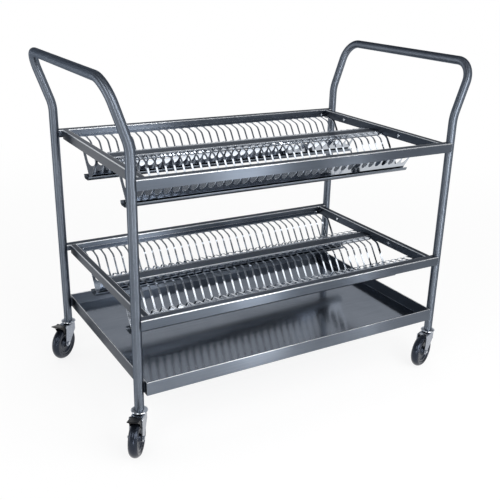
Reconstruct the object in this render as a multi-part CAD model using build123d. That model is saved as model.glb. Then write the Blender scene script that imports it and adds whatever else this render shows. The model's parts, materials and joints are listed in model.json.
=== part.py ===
from build123d import *
import math
import os

# Plate drying trolley: two bent-tube end frames carry two tiers of slotted plate racks and a drip
# tray on four swivelling casters, the two on the left with foot brakes.
# Millimetres. +X runs along the length to the right, +Y to the rear and +Z up.
# The origin is on the floor, midway between the four legs.

# Wheels and forks
WHEEL_D = 125.0
TYRE_WIDTH = 30.0
TYRE_SHOULDER_R = 54.0
TYRE_SEAT_R = 44.0
TYRE_CHAMFER = 3.0
TYRE_FIT = 0.05
HUB_R = 13.0
HUB_WIDTH = 34.0
WEB_WIDTH = 12.0
RIM_WIDTH = 24.0
RIM_DEPTH = 8.0
CASTER_TRAIL = 42.0
FORK_SHEET = 3.0
FORK_GAP = 36.0
FORK_WHEEL_GAP = 3.0
FORK_BEND_R = 3.5
FORK_FRONT = 10.0
FORK_REAR = 46.0
FORK_SHOULDER = 28.0
FORK_EYE_R = 12.0
CROWN_REAR = 36.0
CROWN_NOSE = 21.0
CROWN_NOSE_R = 8.0
HEADINGS = {"front_left": 36.0, "front_right": 68.0, "rear_left": 50.0, "rear_right": 62.0}

# Swivel bearing
KINGPIN_R = 6.0
KINGPIN_HEAD_R = 9.0
KINGPIN_HEAD_HEIGHT = 5.0
STEM_LENGTH = 45.0
STEM_FIT = 0.1
CUP_R = 27.0
CUP_FOOT_R = 17.0
CUP_SLOPE = 3.0
CUP_EDGE = 1.2
CUP_RIM_DEPTH = 6.5
CUP_HEIGHT = 9.7
RUNNING_FIT = 0.05
SWIVEL_GAP = 0.3

# Axle
AXLE_R = 4.0
BUSH_R = 6.0
AXLE_HEX = 11.0
AXLE_HEAD_HEIGHT = 4.5
AXLE_NUT_HEIGHT = 6.5
AXLE_TIP = 2.0

# Foot brakes
BRAKED = ("front_left", "rear_left")
PEDAL_PIVOT_X = 44.0
PEDAL_PIVOT_DROP = 1.0
PEDAL_PIN_R = 2.5
PEDAL_PIN_TIP = 1.5
PEDAL_HUB_R = 4.5
PEDAL_EAR_R = 6.5
PEDAL_EAR_ROOT = 28.0
PEDAL_SIDE_GAP = 0.6
PEDAL_SHOE_GAP = 0.8
PEDAL_SHOE_ANGLE = 71.0
PEDAL_REACH = 43.0
PEDAL_RISE = 5.0
PEDAL_TIP_R = 1.5
PEDAL_SKIRT = 1.5
PEDAL_SKIRT_DROP = 27.0
PEDAL_SKIRT_R = 3.0
BRAKE_TRAVEL = 12.0

# End frames
LEG_SPAN_X = 1192.0
LEG_SPAN_Y = 713.0
TUBE_D = 30.0
TUBE_WALL = 1.5
LEAN_RISE = 87.0
HANDLE_RISE = 184.0
HANDLE_REACH = 64.0
LEAN_RADIUS = 140.0
HANDLE_RADIUS = 70.0
WELD_GAP = 0.15

# Drip tray
TRAY_RISE = 46.0
TRAY_RIM = 47.0
TRAY_SHEET = 1.5
TRAY_HEM = 3.0
TRAY_HEM_HEIGHT = 9.0
TRAY_FOLD_R = 4.0
TRAY_INSET = 19.0
LUG_SHEET = 4.0
LUG_HEIGHT = 34.0

# Tier rails
LOWER_TIER_RISE = 258.0
TIER_PITCH = 427.0
RAIL_HEIGHT = 32.0
RAIL_RIM = 30.0
END_RAIL_RIM = 22.0
RAIL_SHEET = 1.5
RAIL_FOLD_R = 2.0
RAIL_OVERHANG = 19.0
RAIL_END_INSET = 8.0
END_RAIL_INSET = 25.0
LEDGE_WIDTH = 16.0
LEDGE_END_GAP = 0.2
CENTRE_WIDTH = 52.0
CENTRE_HEIGHT = 18.0
RIVET_R = 3.0
RIVET_HEAD_R = 6.0
RIVET_HEAD_HEIGHT = 3.0
RIVET_DOME_R = 1.8
RIVET_TAIL_R = 4.5
RIVET_TAIL_HEIGHT = 2.5
RIVET_DROP = 17.0
RIVET_OFFSET = 35.0

# Plate racks and gutters
RACK_SHEET = 1.5
RACK_DROP = 19.0
RACK_DEPTH = 117.5
RACK_FLOOR = 19.0
RACK_FIT = 0.25
RACK_END_GAP = 11.0
OUTER_LAND = 41.0
INNER_LAND = 10.0
LIP_HEIGHT = 14.0
SHOULDER_DROP = 9.5
WALL_LEAN = 34.9
LIP_BEND_R = 2.0
LAND_BEND_R = 25.0
SHOULDER_BEND_R = 28.0
FLOOR_BEND_R = 8.0
SLOT_PITCH = 30.4
SLOT_WIDTH = 24.0
SLOT_FOOT = 33.0
SLOT_LAND = 2.0
SLOT_MARGIN = 8.0
GUTTER_WIDTH = 48.0
GUTTER_LIP = 14.0
GUTTER_SHEET = 1.2
GUTTER_FOLD_R = 12.0
GUTTER_OVERRUN = 14.0
SCREW_R = 2.5
SCREW_HEAD_R = 4.5
SCREW_HEAD_HEIGHT = 2.5
SCREW_DOME_R = 1.2
SCREW_TIP = 1.5
SCREW_FIT = 0.1
SCREW_INSET = 10.0
NUT_HEX = 8.0
NUT_HEIGHT = 4.0

# Heights and places that follow from those sizes
WHEEL_R = WHEEL_D / 2
CROWN_BOTTOM = WHEEL_D + FORK_WHEEL_GAP
CROWN_TOP = CROWN_BOTTOM + FORK_SHEET
CUP_BOTTOM = CROWN_TOP + SWIVEL_GAP
LEG_BOTTOM = CUP_BOTTOM + CUP_HEIGHT
TRAY_BOTTOM = LEG_BOTTOM + TRAY_RISE
LOWER_RAIL_TOP = TRAY_BOTTOM + LOWER_TIER_RISE
UPPER_RAIL_TOP = LOWER_RAIL_TOP + TIER_PITCH
LEAN_START = UPPER_RAIL_TOP + LEAN_RISE
HANDLE_HEIGHT = LEAN_START + HANDLE_RISE
LEG_X = LEG_SPAN_X / 2
LEG_Y = LEG_SPAN_Y / 2
TUBE_R = TUBE_D / 2
RAIL_OUTER_Y = LEG_Y + RAIL_OVERHANG
RAIL_INNER_Y = RAIL_OUTER_Y - RAIL_RIM
END_RAIL_OUTER_X = LEG_X - END_RAIL_INSET
END_RAIL_INNER_X = END_RAIL_OUTER_X - END_RAIL_RIM
RACK_HALF_LENGTH = END_RAIL_INNER_X - RACK_END_GAP
SHOULDER_INNER_Y = CENTRE_WIDTH / 2 + INNER_LAND
SHOULDER_OUTER_Y = RAIL_INNER_Y - OUTER_LAND
RACK_CENTRE_Y = (SHOULDER_INNER_Y + SHOULDER_OUTER_Y) / 2
FORK_OUTER_Y = FORK_GAP / 2 + FORK_SHEET
PEDAL_PIVOT_Z = CROWN_TOP - PEDAL_PIVOT_DROP

FRONT_TO_REAR = Plane.XZ
LEFT_TO_RIGHT = Plane.YZ


def folded(points, radii, sheet):
    """Section of a folded sheet whose middle line runs through the points with rounded bends."""
    return trace(FilletPolyline(*points, radius=radii), line_width=sheet)


def along_x(section, half_length):
    """Solid of a section drawn in Y and Z, as long on the left of the middle as on the right."""
    return extrude(Plane.YZ * section, amount=half_length, both=True)


def along_y(section, half_length):
    """Solid of a section drawn in X and Z, as long in front of the middle as behind it."""
    return extrude(Plane.XZ * section, amount=half_length, both=True)


def upright(radius, bottom, top):
    """Round bar about the Z axis between two heights."""
    return extrude(Pos(0, 0, bottom) * Circle(radius), amount=top - bottom)


def crosswise(section, low_y, high_y):
    """Solid of a section drawn in X and Z, between two places along Y."""
    return extrude(Plane.XZ.offset(-high_y) * section, amount=high_y - low_y)


def turned(points):
    """Solid turned about the Z axis from an outline in radius and height."""
    return revolve(Plane.XZ * make_face(Polyline(*points, close=True)), Axis.Z)


def hexagon(across_flats):
    """Six-sided outline measured across its flats."""
    return RegularPolygon(across_flats / 2, 6, major_radius=False)


def end_frame():
    """Right-hand end frame: one tube up a leg, over as the push handle and down the other leg."""
    bar_x = LEG_X + HANDLE_REACH
    path = FilletPolyline(
        (LEG_X, -LEG_Y, LEG_BOTTOM),
        (LEG_X, -LEG_Y, LEAN_START),
        (bar_x, -LEG_Y, HANDLE_HEIGHT),
        (bar_x, LEG_Y, HANDLE_HEIGHT),
        (LEG_X, LEG_Y, LEAN_START),
        (LEG_X, LEG_Y, LEG_BOTTOM),
        radius=[LEAN_RADIUS, HANDLE_RADIUS, HANDLE_RADIUS, LEAN_RADIUS],
    )
    ring = Circle(TUBE_R) - Circle(TUBE_R - TUBE_WALL)
    return sweep(Plane(origin=path @ 0, z_dir=path % 0) * ring, path=path)


def leg_bores(top):
    """Clearance for the two right-hand and two left-hand legs through a tier."""
    bore = upright(TUBE_R + WELD_GAP, top - 2 * RAIL_HEIGHT, top + RAIL_HEIGHT)
    return [Pos(x, y) * bore for x in (-LEG_X, LEG_X) for y in (-LEG_Y, LEG_Y)]


def screw_places():
    """Plan places of the screws that hold a rear rack to its rail."""
    screw_x = RACK_HALF_LENGTH - SCREW_INSET
    screw_y = RAIL_INNER_Y - LEDGE_WIDTH / 2
    return [Pos(x, screw_y) for x in (-screw_x, screw_x)]


def long_rail(top):
    """Rear rail of a tier: outer face, rim, inner drop and the ledge that carries a rack."""
    half = RAIL_SHEET / 2
    ledge = top - RACK_DROP - RACK_SHEET
    section = folded(
        [
            (RAIL_OUTER_Y - half, top - RAIL_HEIGHT),
            (RAIL_OUTER_Y - half, top - half),
            (RAIL_INNER_Y + half, top - half),
            (RAIL_INNER_Y + half, ledge - half),
            (RAIL_INNER_Y - LEDGE_WIDTH, ledge - half),
        ],
        RAIL_FOLD_R,
        RAIL_SHEET,
    )
    rail = along_x(section, LEG_X - RAIL_END_INSET)
    for side in (-1, 1):
        cut_start = END_RAIL_INNER_X - LEDGE_END_GAP
        cut_length = LEG_X - cut_start
        cut = Box(cut_length, 2 * LEDGE_WIDTH, 2 * RAIL_HEIGHT)
        rail -= Pos(side * (cut_start + cut_length / 2), RAIL_INNER_Y - LEDGE_WIDTH, ledge) * cut
    rail -= leg_bores(top)
    bore = upright(SCREW_R + SCREW_FIT, ledge - 2 * RAIL_SHEET, ledge + RAIL_SHEET)
    rail -= [place * bore for place in screw_places()]
    return rail


def rivet_places(top):
    """Places of the rivets on the inner face of the right-hand end rail, one for each rack."""
    return [
        Pos(END_RAIL_INNER_X, y + RIVET_OFFSET, top - RIVET_DROP)
        for y in (-RACK_CENTRE_Y, RACK_CENTRE_Y)
    ]


def end_rail(top):
    """Right-hand end rail of a tier: a channel open below, between the two long rails."""
    half = RAIL_SHEET / 2
    section = folded(
        [
            (END_RAIL_OUTER_X - half, top - RAIL_HEIGHT),
            (END_RAIL_OUTER_X - half, top - half),
            (END_RAIL_INNER_X + half, top - half),
            (END_RAIL_INNER_X + half, top - RAIL_HEIGHT),
        ],
        RAIL_FOLD_R,
        RAIL_SHEET,
    )
    rail = along_y(section, RAIL_INNER_Y)
    bore = Rot(0, 90, 0) * Cylinder(RIVET_R + SCREW_FIT, 4 * RAIL_SHEET)
    rail -= [place * bore for place in rivet_places(top)]
    return rail


def rail_rivet():
    """Domed rivet along X, seated on the end rail's inner face at the origin."""
    head = Cylinder(RIVET_HEAD_R, RIVET_HEAD_HEIGHT)
    head = fillet(head.edges().group_by(Axis.Z)[-1], RIVET_DOME_R)
    head = Rot(0, -90, 0) * Pos(0, 0, RIVET_HEAD_HEIGHT / 2) * head
    shank = Pos(RAIL_SHEET / 2) * Rot(0, 90, 0) * Cylinder(RIVET_R, RAIL_SHEET)
    tail = Rot(0, 90, 0) * Cylinder(RIVET_TAIL_R, RIVET_TAIL_HEIGHT)
    tail = Pos(RAIL_SHEET + RIVET_TAIL_HEIGHT / 2) * tail
    return head + shank + tail


def centre_rail(top):
    """Channel between the two racks of a tier, level with their flanges."""
    half = RAIL_SHEET / 2
    level = top - RACK_DROP
    edge = CENTRE_WIDTH / 2 - half
    section = folded(
        [
            (-edge, level - CENTRE_HEIGHT),
            (-edge, level - half),
            (edge, level - half),
            (edge, level - CENTRE_HEIGHT),
        ],
        RAIL_FOLD_R,
        RAIL_SHEET,
    )
    return along_x(section, END_RAIL_INNER_X)


def rack_section(top):
    """Section of a rear rack: flange, shoulder, wall, floor, wall, shoulder, flange and lip."""
    half = RACK_SHEET / 2
    flange = top - RACK_DROP - half
    shoulder = flange - SHOULDER_DROP
    floor = top - RACK_DROP - RACK_DEPTH + half
    floor_half = RACK_FLOOR / 2
    shoulder_half = floor_half + (shoulder - floor) * math.tan(math.radians(WALL_LEAN))
    lip = CENTRE_WIDTH / 2 + half
    outer_edge = RAIL_INNER_Y - (RAIL_FOLD_R - RAIL_SHEET / 2) - RACK_FIT
    side_bends = [LAND_BEND_R, SHOULDER_BEND_R, FLOOR_BEND_R]
    return folded(
        [
            (lip, top - RACK_DROP - LIP_HEIGHT),
            (lip, flange),
            (SHOULDER_INNER_Y, flange),
            (RACK_CENTRE_Y - shoulder_half, shoulder),
            (RACK_CENTRE_Y - floor_half, floor),
            (RACK_CENTRE_Y + floor_half, floor),
            (RACK_CENTRE_Y + shoulder_half, shoulder),
            (SHOULDER_OUTER_Y, flange),
            (outer_edge, flange),
        ],
        [LIP_BEND_R, *side_bends, *reversed(side_bends)],
        RACK_SHEET,
    )


def plate_slots(top):
    """Rows of round-ended plate slots through both walls of a rear rack."""
    count = 1 + int((2 * RACK_HALF_LENGTH - 2 * SLOT_MARGIN - SLOT_WIDTH) / SLOT_PITCH)
    inner = (SHOULDER_INNER_Y - SLOT_LAND, RACK_CENTRE_Y - SLOT_FOOT)
    outer = (RACK_CENTRE_Y + SLOT_FOOT, SHOULDER_OUTER_Y + SLOT_LAND)
    slots = []
    for low_y, high_y in (inner, outer):
        outline = SlotOverall(high_y - low_y, SLOT_WIDTH, rotation=90)
        for index in range(count):
            x = (index - (count - 1) / 2) * SLOT_PITCH
            slots.append(Pos(x, (low_y + high_y) / 2, top) * outline)
    return [extrude(slot, amount=-(RACK_DROP + RACK_DEPTH)) for slot in slots]


def rack(top):
    """Rear plate rack of a tier, one folded and slotted sheet."""
    sheet = along_x(rack_section(top), RACK_HALF_LENGTH)
    bore = upright(SCREW_R + SCREW_FIT, top - RACK_DROP - 2 * RACK_SHEET, top)
    holes = [place * bore for place in screw_places()]
    return sheet - (plate_slots(top) + holes)


def gutter(top):
    """Drain gutter under a rear rack, whose floor stands in it."""
    half = GUTTER_SHEET / 2
    floor = top - RACK_DROP - RACK_DEPTH - half
    edge = GUTTER_WIDTH / 2 - half
    section = folded(
        [
            (RACK_CENTRE_Y - edge, floor - half + GUTTER_LIP),
            (RACK_CENTRE_Y - edge, floor),
            (RACK_CENTRE_Y + edge, floor),
            (RACK_CENTRE_Y + edge, floor - half + GUTTER_LIP),
        ],
        GUTTER_FOLD_R,
        GUTTER_SHEET,
    )
    return along_x(section, RACK_HALF_LENGTH + GUTTER_OVERRUN)


def rack_screw(top):
    """Pan-head screw through a rack's flange and its ledge."""
    seat = top - RACK_DROP
    grip = RACK_SHEET + RAIL_SHEET + NUT_HEIGHT + SCREW_TIP
    head = upright(SCREW_HEAD_R, seat, seat + SCREW_HEAD_HEIGHT)
    head = fillet(head.edges().group_by(Axis.Z)[-1], SCREW_DOME_R)
    return head + upright(SCREW_R, seat - grip, seat)


def rack_nut(top):
    """Nut under the ledge on a rack screw."""
    seat = top - RACK_DROP - RACK_SHEET - RAIL_SHEET
    outline = hexagon(NUT_HEX) - Circle(SCREW_R + RUNNING_FIT)
    return extrude(Pos(0, 0, seat) * outline, amount=-NUT_HEIGHT)


def drip_tray():
    """Shallow tray with a hemmed rim, under the tiers."""
    length = 2 * (LEG_X - TRAY_INSET)
    width = 2 * RAIL_OUTER_Y
    tray = Pos(0, 0, TRAY_BOTTOM + TRAY_RIM / 2) * Box(length, width, TRAY_RIM)
    tray = fillet(tray.edges().group_by(Axis.Z)[0], TRAY_FOLD_R)
    hem_height = TRAY_RIM - TRAY_HEM_HEIGHT - TRAY_SHEET
    hem_bottom = TRAY_BOTTOM + TRAY_SHEET
    well = Box(length - 2 * TRAY_SHEET, width - 2 * TRAY_SHEET, hem_height)
    well = fillet(well.edges().group_by(Axis.Z)[0], TRAY_FOLD_R - TRAY_SHEET)
    mouth = Box(length - 2 * TRAY_HEM, width - 2 * TRAY_HEM, TRAY_RIM)
    tray -= Pos(0, 0, hem_bottom + hem_height / 2) * well
    tray -= Pos(0, 0, hem_bottom + hem_height + TRAY_RIM / 2) * mouth
    return tray


def tray_lug():
    """Welded lug between the tray's end and the rear right leg."""
    start = LEG_X - TRAY_INSET
    length = LEG_X - start
    height = TRAY_BOTTOM + TRAY_RIM / 2
    lug = Pos(start + length / 2, LEG_Y, height) * Box(length, LUG_SHEET, LUG_HEIGHT)
    leg = upright(TUBE_R + WELD_GAP, height - LUG_HEIGHT, height + LUG_HEIGHT)
    return lug - Pos(LEG_X, LEG_Y) * leg


def stem():
    """Caster stem in the leg's bore, with the kingpin and its riveted head below."""
    head_top = CROWN_BOTTOM - SWIVEL_GAP
    stem_r = TUBE_R - TUBE_WALL - STEM_FIT
    return turned([
        (0, head_top - KINGPIN_HEAD_HEIGHT),
        (KINGPIN_HEAD_R, head_top - KINGPIN_HEAD_HEIGHT),
        (KINGPIN_HEAD_R, head_top),
        (KINGPIN_R, head_top),
        (KINGPIN_R, LEG_BOTTOM),
        (stem_r, LEG_BOTTOM),
        (stem_r, LEG_BOTTOM + STEM_LENGTH),
        (0, LEG_BOTTOM + STEM_LENGTH),
    ])


def bearing_cup():
    """Domed bearing cup between the leg and the fork's crown."""
    bore = KINGPIN_R + RUNNING_FIT
    return turned([
        (bore, LEG_BOTTOM),
        (TUBE_R, LEG_BOTTOM),
        (CUP_R - CUP_EDGE, LEG_BOTTOM - CUP_SLOPE),
        (CUP_R, LEG_BOTTOM - CUP_SLOPE - CUP_EDGE),
        (CUP_R, LEG_BOTTOM - CUP_RIM_DEPTH),
        (CUP_FOOT_R, CUP_BOTTOM),
        (bore, CUP_BOTTOM),
    ])


def at_axle(section):
    """Section moved onto the axle's line."""
    return Pos(CASTER_TRAIL, WHEEL_R) * section


def fork_side():
    """Side outline of the fork in X and Z, from the crown down to the axle's eyes."""
    top_edges = Polyline(
        (FORK_REAR, CROWN_TOP),
        (-FORK_FRONT, CROWN_TOP),
        (-FORK_FRONT, CROWN_TOP - FORK_SHOULDER),
    )
    return make_hull([*top_edges.edges(), *at_axle(Circle(FORK_EYE_R)).edges()])


def at_pivot(section):
    """Section moved onto the line of the pedal's pin."""
    return Pos(PEDAL_PIVOT_X, PEDAL_PIVOT_Z) * section


def fork_ear():
    """Outline of the ear that carries the pedal's pin."""
    root = Polyline((PEDAL_EAR_ROOT, CROWN_BOTTOM), (FORK_REAR, CROWN_BOTTOM - PEDAL_EAR_R))
    return make_hull([*root.edges(), *at_pivot(Circle(PEDAL_EAR_R)).edges()])


def fork(braked):
    """Pressed fork, trailing along +X: a sheet bent over the wheel and cut to its side outline."""
    half = FORK_SHEET / 2
    side = FORK_OUTER_Y - half
    foot = WHEEL_R - FORK_EYE_R
    section = folded(
        [(-side, foot), (-side, CROWN_TOP - half), (side, CROWN_TOP - half), (side, foot)],
        FORK_BEND_R,
        FORK_SHEET,
    )
    reach = CASTER_TRAIL + FORK_EYE_R
    blank = Pos((reach - FORK_FRONT) / 2) * along_x(section, (reach + FORK_FRONT) / 2)
    body = blank & crosswise(fork_side(), -FORK_OUTER_Y, FORK_OUTER_Y)
    nose = Box(CROWN_NOSE, 2 * (side - FORK_BEND_R), FORK_SHEET)
    nose = fillet(nose.edges().filter_by(Axis.Z).group_by(Axis.X)[0], CROWN_NOSE_R)
    body += Pos(-CROWN_NOSE / 2, 0, CROWN_TOP - half) * nose
    cut = Box(reach - CROWN_REAR, FORK_GAP, 2 * (FORK_SHEET + FORK_BEND_R))
    body -= Pos((reach + CROWN_REAR) / 2, 0, CROWN_TOP) * cut
    if braked:
        body += crosswise(fork_ear(), FORK_GAP / 2, FORK_OUTER_Y)
        body += crosswise(fork_ear(), -FORK_OUTER_Y, -FORK_GAP / 2)
        body -= crosswise(at_pivot(Circle(PEDAL_PIN_R + RUNNING_FIT)), -FORK_OUTER_Y, FORK_OUTER_Y)
    body -= crosswise(at_axle(Circle(AXLE_R + RUNNING_FIT)), -FORK_OUTER_Y, FORK_OUTER_Y)
    return body - upright(KINGPIN_R + RUNNING_FIT, CROWN_BOTTOM, CROWN_TOP)


def axle_bolt():
    """Hexagon-head axle bolt, with its head on the +Y side."""
    head = crosswise(at_axle(hexagon(AXLE_HEX)), FORK_OUTER_Y, FORK_OUTER_Y + AXLE_HEAD_HEIGHT)
    tip = -FORK_OUTER_Y - AXLE_NUT_HEIGHT - AXLE_TIP
    return head + crosswise(at_axle(Circle(AXLE_R)), tip, FORK_OUTER_Y)


def axle_nut():
    """Nut that clamps the fork on the axle's bush."""
    outline = hexagon(AXLE_HEX) - Circle(AXLE_R + RUNNING_FIT)
    return crosswise(at_axle(outline), -FORK_OUTER_Y - AXLE_NUT_HEIGHT, -FORK_OUTER_Y)


def axle_bush():
    """Bush clamped between the fork's plates, on which the wheel turns."""
    outline = Circle(BUSH_R) - Circle(AXLE_R + RUNNING_FIT)
    return crosswise(at_axle(outline), -FORK_GAP / 2, FORK_GAP / 2)


def about_axle(outline):
    """Solid turned about the axle from an outline in width and radius."""
    solid = revolve(Plane.XZ * outline, Axis.X)
    return Pos(CASTER_TRAIL, 0, WHEEL_R) * Rot(0, 0, 90) * solid


def wheel_rim():
    """Wheel centre: hub, web and rim."""
    hub, web, rim = HUB_WIDTH / 2, WEB_WIDTH / 2, RIM_WIDTH / 2
    bore = BUSH_R + RUNNING_FIT
    rim_inner = TYRE_SEAT_R - RIM_DEPTH
    half = [(hub, bore), (hub, HUB_R), (web, HUB_R), (web, rim_inner), (rim, rim_inner), (rim, TYRE_SEAT_R)]
    other = [(-width, radius) for width, radius in reversed(half)]
    return about_axle(make_face(Polyline(*half, *other, close=True)))


def tyre():
    """Solid rubber tyre with a rounded tread."""
    side = TYRE_WIDTH / 2
    seat = TYRE_SEAT_R + TYRE_FIT
    tread = ThreePointArc((-side, TYRE_SHOULDER_R), (0, WHEEL_R), (side, TYRE_SHOULDER_R))
    wall = Polyline(
        (side, TYRE_SHOULDER_R),
        (side, seat + TYRE_CHAMFER),
        (side - TYRE_CHAMFER, seat),
        (TYRE_CHAMFER - side, seat),
        (-side, seat + TYRE_CHAMFER),
        (-side, TYRE_SHOULDER_R),
    )
    return about_axle(make_face([*tread.edges(), *wall.edges()]))


def brake_pedal():
    """Foot pedal over the wheel's far side, raised from the place where its shoe meets the tyre."""
    shoe_r = WHEEL_R + PEDAL_SHOE_GAP
    shoe_angle = math.radians(PEDAL_SHOE_ANGLE)
    heel = (CASTER_TRAIL + shoe_r * math.cos(shoe_angle), WHEEL_R + shoe_r * math.sin(shoe_angle))
    spine = Line((PEDAL_PIVOT_X, PEDAL_PIVOT_Z), heel)
    hub = at_pivot(Circle(PEDAL_HUB_R))
    tip = at_pivot(Pos(PEDAL_REACH, PEDAL_RISE) * Circle(PEDAL_TIP_R))
    foot = at_pivot(Pos(0, -PEDAL_SKIRT_DROP) * Circle(PEDAL_SKIRT_R))
    lever = make_hull([*hub.edges(), *tip.edges(), *spine.edges()]) - at_axle(Circle(shoe_r))
    skirt = make_hull([*hub.edges(), *foot.edges(), *spine.edges()])
    half_width = FORK_GAP / 2 - PEDAL_SIDE_GAP
    pressed = crosswise(lever, -half_width, half_width)
    pressed += crosswise(skirt, half_width - PEDAL_SKIRT, half_width)
    pressed += crosswise(skirt, -half_width, PEDAL_SKIRT - half_width)
    pressed -= crosswise(at_pivot(Circle(PEDAL_PIN_R + RUNNING_FIT)), -half_width, half_width)
    pivot = Axis((PEDAL_PIVOT_X, 0, PEDAL_PIVOT_Z), (0, 1, 0))
    return pressed.rotate(pivot, -BRAKE_TRAVEL)


def brake_pin():
    """Pin through the fork's ears, on which the pedal turns."""
    reach = FORK_OUTER_Y + PEDAL_PIN_TIP
    return crosswise(at_pivot(Circle(PEDAL_PIN_R)), -reach, reach)


def leg_place(corner):
    """Plan place of a leg."""
    x = LEG_X if corner.endswith("right") else -LEG_X
    y = LEG_Y if corner.startswith("rear") else -LEG_Y
    return Pos(x, y)


def caster_place(corner):
    """Place and turn of a caster, whose wheel trails away from its heading."""
    return leg_place(corner) * Rot(0, 0, -90 - HEADINGS[corner])


def front_and_rear(shape):
    """A shape on the rear side and its mirror image on the front side."""
    return {"rear": shape, "front": mirror(shape, about=FRONT_TO_REAR)}


def left_and_right(shape):
    """A shape on the right and its mirror image on the left."""
    return {"right": shape, "left": mirror(shape, about=LEFT_TO_RIGHT)}


def group(shapes):
    """Separate solids kept together as one node."""
    return Compound(children=[solid for shape in shapes for solid in shape.solids()])


def main():
    nodes = {}
    for side, shape in left_and_right(end_frame()).items():
        nodes[f"{side}_end_frame"] = shape

    screws, nuts, rivets = [], [], []
    for tier, top in (("upper", UPPER_RAIL_TOP), ("lower", LOWER_RAIL_TOP)):
        for side, shape in front_and_rear(long_rail(top)).items():
            nodes[f"{tier}_{side}_rail"] = shape
        for side, shape in left_and_right(end_rail(top)).items():
            nodes[f"{tier}_{side}_rail"] = shape
        nodes[f"{tier}_centre_rail"] = centre_rail(top)
        for side, shape in front_and_rear(rack(top)).items():
            nodes[f"{tier}_{side}_rack"] = shape
        for side, shape in front_and_rear(gutter(top)).items():
            nodes[f"{tier}_{side}_gutter"] = shape
        for place in screw_places():
            screws += front_and_rear(place * rack_screw(top)).values()
            nuts += front_and_rear(place * rack_nut(top)).values()
        for place in rivet_places(top):
            rivets += left_and_right(place * rail_rivet()).values()
    nodes["rack_screws"] = group(screws)
    nodes["rack_nuts"] = group(nuts)
    nodes["rail_rivets"] = group(rivets)

    nodes["drip_tray"] = drip_tray()
    lugs = []
    for lug in front_and_rear(tray_lug()).values():
        lugs += left_and_right(lug).values()
    nodes["tray_lugs"] = group(lugs)
    nodes["caster_stems"] = group([leg_place(corner) * stem() for corner in HEADINGS])
    nodes["bearing_cups"] = group([leg_place(corner) * bearing_cup() for corner in HEADINGS])

    for corner in HEADINGS:
        place = caster_place(corner)
        braked = corner in BRAKED
        nodes[f"fork_{corner}"] = place * fork(braked)
        nodes[f"axle_bolt_{corner}"] = place * axle_bolt()
        nodes[f"axle_nut_{corner}"] = place * axle_nut()
        nodes[f"axle_bush_{corner}"] = place * axle_bush()
        nodes[f"wheel_rim_{corner}"] = place * wheel_rim()
        nodes[f"tyre_{corner}"] = place * tyre()
        if braked:
            nodes[f"brake_pedal_{corner}"] = place * brake_pedal()
            nodes[f"brake_pin_{corner}"] = place * brake_pin()

    os.makedirs("parts", exist_ok=True)
    for name, shape in nodes.items():
        export_step(shape, f"parts/{name}.step")


main()
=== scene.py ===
import json
import math

import bmesh
import bpy
from mathutils import Matrix, Vector


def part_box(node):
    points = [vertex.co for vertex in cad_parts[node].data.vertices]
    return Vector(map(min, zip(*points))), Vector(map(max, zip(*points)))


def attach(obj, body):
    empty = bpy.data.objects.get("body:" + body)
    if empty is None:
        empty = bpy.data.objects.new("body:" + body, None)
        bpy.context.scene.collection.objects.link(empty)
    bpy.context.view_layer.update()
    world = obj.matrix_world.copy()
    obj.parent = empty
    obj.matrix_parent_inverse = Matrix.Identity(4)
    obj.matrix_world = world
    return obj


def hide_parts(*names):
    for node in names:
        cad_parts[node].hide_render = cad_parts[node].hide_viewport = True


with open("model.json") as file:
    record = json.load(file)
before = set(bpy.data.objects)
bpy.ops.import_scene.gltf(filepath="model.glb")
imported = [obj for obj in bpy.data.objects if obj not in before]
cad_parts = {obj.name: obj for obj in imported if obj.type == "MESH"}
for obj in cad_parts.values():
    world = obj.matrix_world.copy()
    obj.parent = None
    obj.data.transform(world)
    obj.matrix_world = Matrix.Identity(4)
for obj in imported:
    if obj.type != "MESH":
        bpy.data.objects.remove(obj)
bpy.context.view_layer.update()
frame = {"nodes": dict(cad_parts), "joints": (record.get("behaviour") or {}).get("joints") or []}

# Pieces are drawn in millimetres, in the trolley's own frame, and scaled to metres at the end.
MM = 0.001
CORNERS = ("front_left", "front_right", "rear_left", "rear_right")
BRAKED = tuple(corner for corner in CORNERS if f"brake_pedal_{corner}" in frame["nodes"])
TIERS = ("upper", "lower")

# End frames
TUBE_R = 15.0
TUBE_WALL = 1.5
LEAN_RISE = 87.0
LEAN_RADIUS = 140.0
HANDLE_RADIUS = 70.0

# Tier rails
RAIL_SHEET = 1.5
RAIL_RIM = 30.0
RAIL_FOLD_R = 2.0
LEDGE_DROP = 20.5
LEDGE_END_GAP = 0.2
WELD_GAP = 0.15

# Plate racks: sizes across a rack count from its middle.
RACK_SHEET = 1.5
SLOT_COUNT = 35
SLOT_PITCH = 30.4
SLOT_R = 12.0
SLOT_FOOT = 33.0
SLOT_HEAD = 136.25
FLOOR_HALF = 9.5
SHOULDER_HALF = 83.8
SHOULDER_DROP = 9.5
FLANGE_START = 134.25
LAND_BEND_R = 25.0
SHOULDER_BEND_R = 28.0
FLOOR_BEND_R = 8.0
LIP_BEND_R = 2.0
LIP_HEIGHT = 14.0
# The line that gives a rack's height runs this far past its flat edges.
PAST_EDGE = 1.0
# Rows of points across the sheet, closer together where it bends
FLOOR_STOPS = (20.0, 12.0, 10.5, 9.0, 7.0, 5.3, 0.0)
WALL_STOPS = (110.0, 95.0, 90.8, 86.3, 81.8, 77.3, 62.0, 45.0)

# Gutters
GUTTER_SHEET = 1.2
GUTTER_FOLD_R = 12.0

# Drip tray
TRAY_SHEET = 1.5
TRAY_FOLD_R = 4.0
TRAY_HEM = 3.2
TRAY_HEM_HEIGHT = 9.0
TRAY_HEM_R = 1.2

# Casters
CASTER_TRAIL = 42.0
WHEEL_R = 62.5
TYRE_SIDE = 15.0
TYRE_SHOULDER_R = 54.0
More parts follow.
